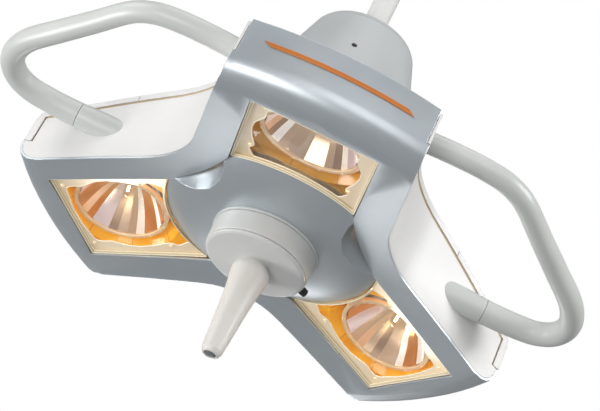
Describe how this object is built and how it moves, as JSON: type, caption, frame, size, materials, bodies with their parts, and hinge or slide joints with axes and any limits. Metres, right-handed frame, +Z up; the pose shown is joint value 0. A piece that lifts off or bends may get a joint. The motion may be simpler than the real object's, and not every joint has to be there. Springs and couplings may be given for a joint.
{
  "type": "surgical light",
  "caption": "Ceiling-hung surgical light: three-lobed head, halogen lamps behind windows, central focus drum with sterile handle, grab handles, and a tilt and swivel joint on a tube.",
  "frame": {"origin": "centre of the suspension tube at its top end face", "axes": "+Z up along the suspension tube; lamp arm A towards -Y, B and C towards +Y at 120 degrees from it; tilt axis along X"},
  "size_m": [0.8268, 0.6287, 0.718],
  "materials": {
    "head_gray": "satin light gray moulded shell",
    "joint_gray": "satin light gray enamel on cast aluminium",
    "handle_gray": "smooth warm light gray",
    "cover_white": "satin white moulded cover",
    "tube_white": "white enamelled steel tube",
    "bezel_cream": "cream satin plastic",
    "mask_beige": "beige matt moulding",
    "amber": "translucent amber plastic",
    "window_glass": "clear tempered glass",
    "ring_clear": "clear moulded ring",
    "reflector": "faceted cold-light mirror",
    "bulb_glass": "halogen bulb glass",
    "ceramic": "white ceramic",
    "stripe_orange": "orange-brown inlay",
    "seal_tan": "tan rubber groove profile",
    "steel": "machined steel",
    "alloy": "bare cast alloy",
    "drum_gray": "satin light gray",
    "sterile_white": "off-white autoclavable plastic",
    "black": "glossy black plastic"
  },
  "bodies": {
    "suspension": {"suspension_tube": "tube_white", "pivot_eye": "steel", "pivot_pin": "steel"},
    "joint": {"joint_housing": "joint_gray", "joint_front_cover": "joint_gray", "brake_screw": "black", "swivel_bearing": "steel"},
    "head": {"hub_base": "joint_gray", "chassis": "alloy", "front_frame": "head_gray", "dome": "head_gray", "rear_cover": "cover_white", "drum_ring": "drum_gray", "flank_cover_AB": "cover_white", "flank_cover_AC": "cover_white", "flank_cover_BC": "cover_white", "groove_seal_AB": "seal_tan", "groove_seal_AC": "seal_tan", "groove_seal_BC": "seal_tan", "handle_tube_AB": "handle_gray", "handle_tube_AC": "handle_gray", "handle_socket_AB": "handle_gray", "handle_socket_AC": "handle_gray", "stripe_A": "stripe_orange", "window_bezel_A": "bezel_cream", "window_glass_A": "window_glass", "mask_plate_A": "mask_beige", "amber_bowl_A": "amber", "stripe_B": "stripe_orange", "window_bezel_B": "bezel_cream", "window_glass_B": "window_glass", "mask_plate_B": "mask_beige", "amber_bowl_B": "amber", "stripe_C": "stripe_orange", "window_bezel_C": "bezel_cream", "window_glass_C": "window_glass", "mask_plate_C": "mask_beige", "amber_bowl_C": "amber"},
    "lamp_cover_A": {"lamp_cover_A": "cover_white"},
    "lamp_cover_B": {"lamp_cover_B": "cover_white"},
    "lamp_cover_C": {"lamp_cover_C": "cover_white"},
    "lamp_module_A": {"reflector_A": "reflector", "reflector_ring_A": "ring_clear", "bulb_A": "bulb_glass", "bulb_holder_A": "ceramic"},
    "lamp_module_B": {"reflector_B": "reflector", "reflector_ring_B": "ring_clear", "bulb_B": "bulb_glass", "bulb_holder_B": "ceramic"},
    "lamp_module_C": {"reflector_C": "reflector", "reflector_ring_C": "ring_clear", "bulb_C": "bulb_glass", "bulb_holder_C": "ceramic"},
    "focus_drum": {"focus_drum": "drum_gray", "drum_cap": "drum_gray", "focus_cam": "steel"},
    "sterile_handle": {"sterile_handle": "sterile_white"},
    "release_button": {"release_button": "black"}
  },
  "joints": [
    {"name": "head_tilt", "type": "hinge", "parent": "suspension", "child": "joint", "pos_m": [0, 0, -0.258], "axis": [1, 0, 0], "range_deg": [0, 60]},
    {"name": "head_swivel", "type": "hinge", "parent": "joint", "child": "head", "pos_m": [0, 0, -0.308], "axis": [0, 0, 1], "range_deg": [-170, 170]},
    {"name": "cover_hinge_A", "type": "hinge", "parent": "head", "child": "lamp_cover_A", "pos_m": [0, -0.196, -0.411], "axis": [-1, 0, 0], "range_deg": [0, 60]},
    {"name": "cover_hinge_B", "type": "hinge", "parent": "head", "child": "lamp_cover_B", "pos_m": [-0.16974, 0.098, -0.411], "axis": [0.5, 0.866, 0], "range_deg": [0, 60]},
    {"name": "cover_hinge_C", "type": "hinge", "parent": "head", "child": "lamp_cover_C", "pos_m": [0.16974, 0.098, -0.411], "axis": [0.5, -0.866, 0], "range_deg": [0, 60]},
    {"name": "focus_turn", "type": "hinge", "parent": "head", "child": "focus_drum", "pos_m": [0, 0, -0.54], "axis": [0, 0, 1], "range_deg": [-60, 60]},
    {"name": "module_tilt_A", "type": "hinge", "parent": "head", "child": "lamp_module_A", "pos_m": [0, -0.23199, -0.51751], "axis": [1, 0, 0], "range_deg": [-3, 3]},
    {"name": "module_tilt_B", "type": "hinge", "parent": "head", "child": "lamp_module_B", "pos_m": [-0.20091, 0.116, -0.51751], "axis": [-0.5, -0.866, 0], "range_deg": [-3, 3]},
    {"name": "module_tilt_C", "type": "hinge", "parent": "head", "child": "lamp_module_C", "pos_m": [0.20091, 0.116, -0.51751], "axis": [-0.5, 0.866, 0], "range_deg": [-3, 3]},
    {"name": "sterile_handle_pull", "type": "slide", "parent": "focus_drum", "child": "sterile_handle", "axis": [0, 0, -1], "range_m": [0, 0.045]},
    {"name": "release_press", "type": "slide", "parent": "focus_drum", "child": "release_button", "axis": [-0.891, -0.454, 0], "range_m": [0, 0.004], "stiffness_N_per_m": 600, "springref_m": -0.002}
  ],
  "couplings": [
    {"joint": "module_tilt_A", "follows": "focus_turn", "ratio": 0.05},
    {"joint": "module_tilt_B", "follows": "focus_turn", "ratio": 0.05},
    {"joint": "module_tilt_C", "follows": "focus_turn", "ratio": 0.05}
  ]
}
